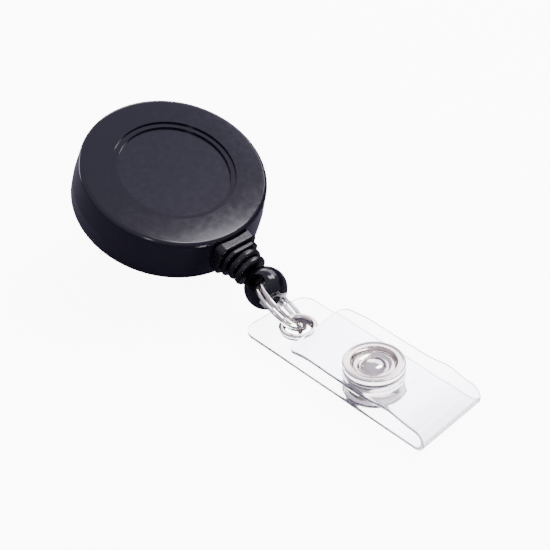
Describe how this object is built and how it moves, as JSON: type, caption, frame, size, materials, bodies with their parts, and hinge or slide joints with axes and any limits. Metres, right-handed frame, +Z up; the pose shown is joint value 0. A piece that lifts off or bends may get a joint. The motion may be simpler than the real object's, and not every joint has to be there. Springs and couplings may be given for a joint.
{
  "type": "retractable badge reel",
  "caption": "Round spring reel with a ball-ended cord, split ring, clear vinyl snap strap and a swivelling spring clip on its back.",
  "frame": {"origin": "on the table, under the middle of the outline, as the reel lies on its clip and strap", "axes": "+X along the strap away from the case, +Z up from the table, +Y across the strap"},
  "size_m": [0.079, 0.032, 0.0257],
  "materials": {
    "case_plastic": "moulded ABS, glossy black with a cool tint",
    "nozzle_plastic": "moulded black plastic, soft gloss",
    "ball_plastic": "polished black plastic",
    "spool_plastic": "natural acetal",
    "cord_nylon": "braided black nylon",
    "spring_steel": "rolled spring steel",
    "nickel": "bright nickel plate",
    "clear_vinyl": "clear flexible vinyl, slightly blue at its edges"
  },
  "bodies": {
    "case": {"front_cover": "case_plastic", "rear_cover": "case_plastic", "cord_nozzle": "nozzle_plastic", "cord_lead": "cord_nylon", "power_spring": "spring_steel", "clip_rivet": "nickel", "clip_washer": "spring_steel"},
    "reel_spool": {"spool": "spool_plastic", "cord_winding": "cord_nylon"},
    "cord_end": {"cord_tail": "cord_nylon", "cord_knot": "cord_nylon"},
    "ball": {"end_ball": "ball_plastic", "ball_plug": "nozzle_plastic"},
    "ring": {"split_ring": "nickel"},
    "strap": {"strap_lower": "clear_vinyl", "eyelet": "nickel", "eyelet_washer": "nickel", "snap_base": "nickel", "snap_stud": "nickel"},
    "flap": {"strap_upper": "clear_vinyl", "snap_socket": "nickel", "snap_ring": "nickel"},
    "clip": {"clip_plate": "nickel", "clip_pin": "nickel", "clip_spring": "spring_steel"},
    "jaw": {"clip_jaw": "nickel"}
  },
  "joints": [
    {"name": "cord_pull", "type": "slide", "parent": "case", "child": "cord_end", "axis": [1, 0, 0], "range_m": [0, 0.8], "stiffness_N_per_m": 1, "springref_m": -1},
    {"name": "spool_spin", "type": "hinge", "parent": "case", "child": "reel_spool", "pos_m": [-0.02341, 0, 0.01563], "axis": [0.4163, 0, 0.9092], "range_deg": [0, 4830]},
    {"name": "ball_roll", "type": "hinge", "parent": "cord_end", "child": "ball", "pos_m": [-0.00051, 0, 0.00603], "axis": [0.9092, 0, -0.4163], "range_deg": [-180, 180]},
    {"name": "ring_swing", "type": "hinge", "parent": "ball", "child": "ring", "pos_m": [-0.00051, 0, 0.00603], "axis": [0.1595, -0.6849, 0.711], "range_deg": [-75, 75]},
    {"name": "strap_pitch", "type": "hinge", "parent": "ring", "child": "strap", "pos_m": [0.00817, -0.00122, 0.00291], "axis": [0.1595, -0.6849, 0.711], "range_deg": [-4, 0]},
    {"name": "flap_open", "type": "hinge", "parent": "strap", "child": "flap", "pos_m": [0.03953, -0.00067, 0.00258], "axis": [0, 1, 0], "range_deg": [0, 150], "stiffness_Nm_per_rad": 0.0008, "springref_deg": -20.05},
    {"name": "clip_swivel", "type": "hinge", "parent": "case", "child": "clip", "pos_m": [-0.02516, 0, 0.01181], "axis": [0.4163, 0, 0.9092], "continuous": true},
    {"name": "jaw_open", "type": "hinge", "parent": "clip", "child": "jaw", "pos_m": [-0.02315, 0, 0.00539], "axis": [0, 1, 0], "range_deg": [0, 35], "stiffness_Nm_per_rad": 0.03, "springref_deg": -45.84}
  ],
  "couplings": [
    {"joint": "spool_spin", "follows": "cord_pull", "rad_per_m": 105.21}
  ]
}
